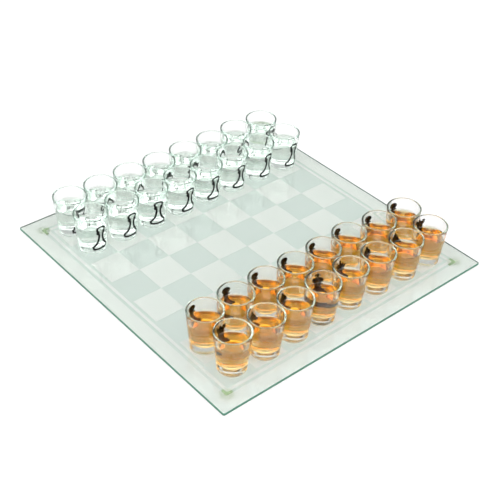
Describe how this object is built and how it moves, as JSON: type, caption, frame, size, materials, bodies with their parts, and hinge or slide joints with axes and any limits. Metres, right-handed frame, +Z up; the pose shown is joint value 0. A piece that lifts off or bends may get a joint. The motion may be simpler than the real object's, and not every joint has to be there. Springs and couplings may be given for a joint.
{
  "type": "glass chess set",
  "caption": "Square glass board with frosted squares on bumper feet, and shot glasses that stand on it as the chess pieces.",
  "frame": {"origin": "centre of the board's footprint at the surface the feet stand on", "axes": "+Z up, +X along the ranks from the h file to the a file, +Y towards the white side"},
  "size_m": [0.35, 0.35, 0.051],
  "materials": {
    "board_glass": "polished sheet, pale green, deep green at the cut edges",
    "frosted_print": "frosted, satin white, fired on the underside of the sheet",
    "bumper": "satin, translucent",
    "shot_glass": "polished, moulded, clear",
    "amber_drink": "liquid, clear amber",
    "clear_drink": "liquid, colourless",
    "black_print": "fired enamel, satin black"
  },
  "bodies": {
    "board": {"board_glass": "board_glass", "frosted_squares": "frosted_print", "frosted_strip": "frosted_print", "frosted_border": "frosted_print", "foot_near_left": "bumper", "foot_near_right": "bumper", "foot_far_left": "bumper", "foot_far_right": "bumper"},
    "white_rook_h": {"white_rook_h": "shot_glass"},
    "white_knight_g": {"white_knight_g": "shot_glass"},
    "white_bishop_f": {"white_bishop_f": "shot_glass"},
    "white_king_e": {"white_king_e": "shot_glass"},
    "white_queen_d": {"white_queen_d": "shot_glass"},
    "white_bishop_c": {"white_bishop_c": "shot_glass"},
    "white_knight_b": {"white_knight_b": "shot_glass"},
    "white_rook_a": {"white_rook_a": "shot_glass"},
    "white_pawn_h": {"white_pawn_h": "shot_glass"},
    "white_pawn_g": {"white_pawn_g": "shot_glass"},
    "white_pawn_f": {"white_pawn_f": "shot_glass"},
    "white_pawn_e": {"white_pawn_e": "shot_glass"},
    "white_pawn_d": {"white_pawn_d": "shot_glass"},
    "white_pawn_c": {"white_pawn_c": "shot_glass"},
    "white_pawn_b": {"white_pawn_b": "shot_glass"},
    "white_pawn_a": {"white_pawn_a": "shot_glass"},
    "black_rook_h": {"black_rook_h": "shot_glass"},
    "black_knight_g": {"black_knight_g": "shot_glass"},
    "black_bishop_f": {"black_bishop_f": "shot_glass"},
    "black_king_e": {"black_king_e": "shot_glass"},
    "black_queen_d": {"black_queen_d": "shot_glass"},
    "black_bishop_c": {"black_bishop_c": "shot_glass"},
    "black_knight_b": {"black_knight_b": "shot_glass"},
    "black_rook_a": {"black_rook_a": "shot_glass"},
    "black_pawn_h": {"black_pawn_h": "shot_glass"},
    "black_pawn_g": {"black_pawn_g": "shot_glass"},
    "black_pawn_f": {"black_pawn_f": "shot_glass"},
    "black_pawn_e": {"black_pawn_e": "shot_glass"},
    "black_pawn_d": {"black_pawn_d": "shot_glass"},
    "black_pawn_c": {"black_pawn_c": "shot_glass"},
    "black_pawn_b": {"black_pawn_b": "shot_glass"},
    "black_pawn_a": {"black_pawn_a": "shot_glass"}
  },
  "joints": [
    {"name": "lift_white_rook_h", "type": "slide", "parent": "board", "child": "white_rook_h", "axis": [0, 0, 1], "range_m": [0, 0.06]},
    {"name": "lift_white_knight_g", "type": "slide", "parent": "board", "child": "white_knight_g", "axis": [0, 0, 1], "range_m": [0, 0.06]},
    {"name": "lift_white_bishop_f", "type": "slide", "parent": "board", "child": "white_bishop_f", "axis": [0, 0, 1], "range_m": [0, 0.06]},
    {"name": "lift_white_king_e", "type": "slide", "parent": "board", "child": "white_king_e", "axis": [0, 0, 1], "range_m": [0, 0.06]},
    {"name": "lift_white_queen_d", "type": "slide", "parent": "board", "child": "white_queen_d", "axis": [0, 0, 1], "range_m": [0, 0.06]},
    {"name": "lift_white_bishop_c", "type": "slide", "parent": "board", "child": "white_bishop_c", "axis": [0, 0, 1], "range_m": [0, 0.06]},
    {"name": "lift_white_knight_b", "type": "slide", "parent": "board", "child": "white_knight_b", "axis": [0, 0, 1], "range_m": [0, 0.06]},
    {"name": "lift_white_rook_a", "type": "slide", "parent": "board", "child": "white_rook_a", "axis": [0, 0, 1], "range_m": [0, 0.06]},
    {"name": "lift_white_pawn_h", "type": "slide", "parent": "board", "child": "white_pawn_h", "axis": [0, 0, 1], "range_m": [0, 0.06]},
    {"name": "lift_white_pawn_g", "type": "slide", "parent": "board", "child": "white_pawn_g", "axis": [0, 0, 1], "range_m": [0, 0.06]},
    {"name": "lift_white_pawn_f", "type": "slide", "parent": "board", "child": "white_pawn_f", "axis": [0, 0, 1], "range_m": [0, 0.06]},
    {"name": "lift_white_pawn_e", "type": "slide", "parent": "board", "child": "white_pawn_e", "axis": [0, 0, 1], "range_m": [0, 0.06]},
    {"name": "lift_white_pawn_d", "type": "slide", "parent": "board", "child": "white_pawn_d", "axis": [0, 0, 1], "range_m": [0, 0.06]},
    {"name": "lift_white_pawn_c", "type": "slide", "parent": "board", "child": "white_pawn_c", "axis": [0, 0, 1], "range_m": [0, 0.06]},
    {"name": "lift_white_pawn_b", "type": "slide", "parent": "board", "child": "white_pawn_b", "axis": [0, 0, 1], "range_m": [0, 0.06]},
    {"name": "lift_white_pawn_a", "type": "slide", "parent": "board", "child": "white_pawn_a", "axis": [0, 0, 1], "range_m": [0, 0.06]},
    {"name": "lift_black_rook_h", "type": "slide", "parent": "board", "child": "black_rook_h", "axis": [0, 0, 1], "range_m": [0, 0.06]},
    {"name": "lift_black_knight_g", "type": "slide", "parent": "board", "child": "black_knight_g", "axis": [0, 0, 1], "range_m": [0, 0.06]},
    {"name": "lift_black_bishop_f", "type": "slide", "parent": "board", "child": "black_bishop_f", "axis": [0, 0, 1], "range_m": [0, 0.06]},
    {"name": "lift_black_king_e", "type": "slide", "parent": "board", "child": "black_king_e", "axis": [0, 0, 1], "range_m": [0, 0.06]},
    {"name": "lift_black_queen_d", "type": "slide", "parent": "board", "child": "black_queen_d", "axis": [0, 0, 1], "range_m": [0, 0.06]},
    {"name": "lift_black_bishop_c", "type": "slide", "parent": "board", "child": "black_bishop_c", "axis": [0, 0, 1], "range_m": [0, 0.06]},
    {"name": "lift_black_knight_b", "type": "slide", "parent": "board", "child": "black_knight_b", "axis": [0, 0, 1], "range_m": [0, 0.06]},
    {"name": "lift_black_rook_a", "type": "slide", "parent": "board", "child": "black_rook_a", "axis": [0, 0, 1], "range_m": [0, 0.06]},
    {"name": "lift_black_pawn_h", "type": "slide", "parent": "board", "child": "black_pawn_h", "axis": [0, 0, 1], "range_m": [0, 0.06]},
    {"name": "lift_black_pawn_g", "type": "slide", "parent": "board", "child": "black_pawn_g", "axis": [0, 0, 1], "range_m": [0, 0.06]},
    {"name": "lift_black_pawn_f", "type": "slide", "parent": "board", "child": "black_pawn_f", "axis": [0, 0, 1], "range_m": [0, 0.06]},
    {"name": "lift_black_pawn_e", "type": "slide", "parent": "board", "child": "black_pawn_e", "axis": [0, 0, 1], "range_m": [0, 0.06]},
    {"name": "lift_black_pawn_d", "type": "slide", "parent": "board", "child": "black_pawn_d", "axis": [0, 0, 1], "range_m": [0, 0.06]},
    {"name": "lift_black_pawn_c", "type": "slide", "parent": "board", "child": "black_pawn_c", "axis": [0, 0, 1], "range_m": [0, 0.06]},
    {"name": "lift_black_pawn_b", "type": "slide", "parent": "board", "child": "black_pawn_b", "axis": [0, 0, 1], "range_m": [0, 0.06]},
    {"name": "lift_black_pawn_a", "type": "slide", "parent": "board", "child": "black_pawn_a", "axis": [0, 0, 1], "range_m": [0, 0.06]}
  ]
}
